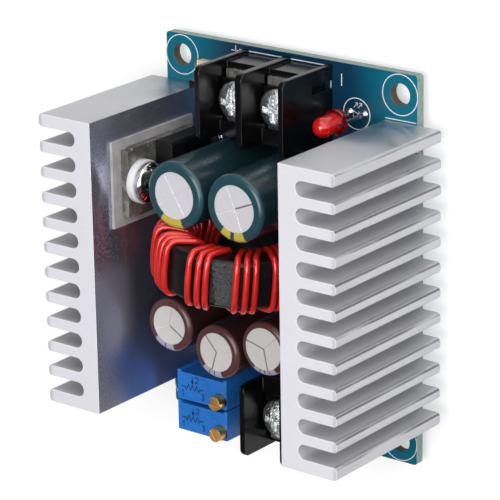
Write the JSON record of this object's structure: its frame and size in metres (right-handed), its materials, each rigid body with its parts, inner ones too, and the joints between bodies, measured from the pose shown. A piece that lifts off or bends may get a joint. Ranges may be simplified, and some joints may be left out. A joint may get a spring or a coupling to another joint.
{
  "type": "power supply module",
  "caption": "Step-down power supply module: circuit board between finned heatsinks, with screw terminals, capacitors, toroidal inductor and trimmers.",
  "frame": {"origin": "middle of the mounting-hole pattern on the underside of the board", "axes": "+X to the right heatsink, +Y to the input end, +Z away from the board on the component side"},
  "size_m": [0.0536, 0.0602, 0.0294],
  "materials": {
    "board": "solder mask, satin",
    "heatsink": "extruded, satin",
    "thermal_pad": "matte",
    "tinned_copper": "tinned",
    "epoxy": "matte",
    "nylon": "satin",
    "nickel_screw": "polished",
    "terminal_housing": "satin",
    "terminal_contact": "tinned",
    "zinc": "bright zinc",
    "can": "satin",
    "green_sleeve": "gloss",
    "brown_sleeve": "gloss",
    "bung": "matte",
    "core": "coated, rough",
    "enamelled_wire": "gloss enamel",
    "trimmer_body": "satin",
    "brass": "turned",
    "lens": "clear gloss",
    "chip_ceramic": "matte",
    "chip_resistive": "matte",
    "solder": "bright"
  },
  "bodies": {
    "module": {"pcb": "board", "heatsink_left": "heatsink", "heatsink_right": "heatsink", "transistor_pad": "thermal_pad", "transistor_leadframe": "tinned_copper", "transistor_body": "epoxy", "transistor_bush": "nylon", "transistor_screw": "nickel_screw", "rectifier_pad": "thermal_pad", "rectifier_leadframe": "tinned_copper", "rectifier_body": "epoxy", "rectifier_bush": "nylon", "rectifier_screw": "nickel_screw", "input_terminal_housing": "terminal_housing", "input_terminal_contacts": "terminal_contact", "input_terminal_clamps": "zinc", "input_terminal_screws": "zinc", "output_terminal_housing": "terminal_housing", "output_terminal_contacts": "terminal_contact", "output_terminal_clamps": "zinc", "output_terminal_screws": "zinc", "input_capacitor_1_can": "can", "input_capacitor_1_sleeve": "green_sleeve", "input_capacitor_2_can": "can", "input_capacitor_2_sleeve": "green_sleeve", "output_capacitor_1_can": "can", "output_capacitor_1_sleeve": "brown_sleeve", "output_capacitor_2_can": "can", "output_capacitor_2_sleeve": "brown_sleeve", "output_capacitor_3_can": "can", "output_capacitor_3_sleeve": "brown_sleeve", "capacitor_bungs": "bung", "capacitor_leads": "tinned_copper", "toroid_core": "core", "toroid_winding": "enamelled_wire", "trimmer_1_body": "trimmer_body", "trimmer_1_pins": "tinned_copper", "trimmer_2_body": "trimmer_body", "trimmer_2_pins": "tinned_copper", "led_lens": "lens", "led_leads": "tinned_copper", "controller_body": "epoxy", "controller_leads": "tinned_copper", "amplifier_body": "epoxy", "amplifier_leads": "tinned_copper", "shunt_resistor": "chip_resistive", "chip_resistors": "chip_resistive", "chip_capacitors": "chip_ceramic", "chip_end_caps": "tinned_copper", "solder_joints": "solder"},
    "trimmer_1_adjuster": {"trimmer_1_screw": "brass"},
    "trimmer_2_adjuster": {"trimmer_2_screw": "brass"}
  },
  "joints": [
    {"name": "trimmer_1_adjust", "type": "hinge", "parent": "module", "child": "trimmer_1_adjuster", "pos_m": [-0.00617, -0.02315, 0.0116], "axis": [0, 0, 1], "continuous": true},
    {"name": "trimmer_2_adjust", "type": "hinge", "parent": "module", "child": "trimmer_2_adjuster", "pos_m": [-0.00617, -0.02823, 0.0116], "axis": [0, 0, 1], "continuous": true}
  ]
}
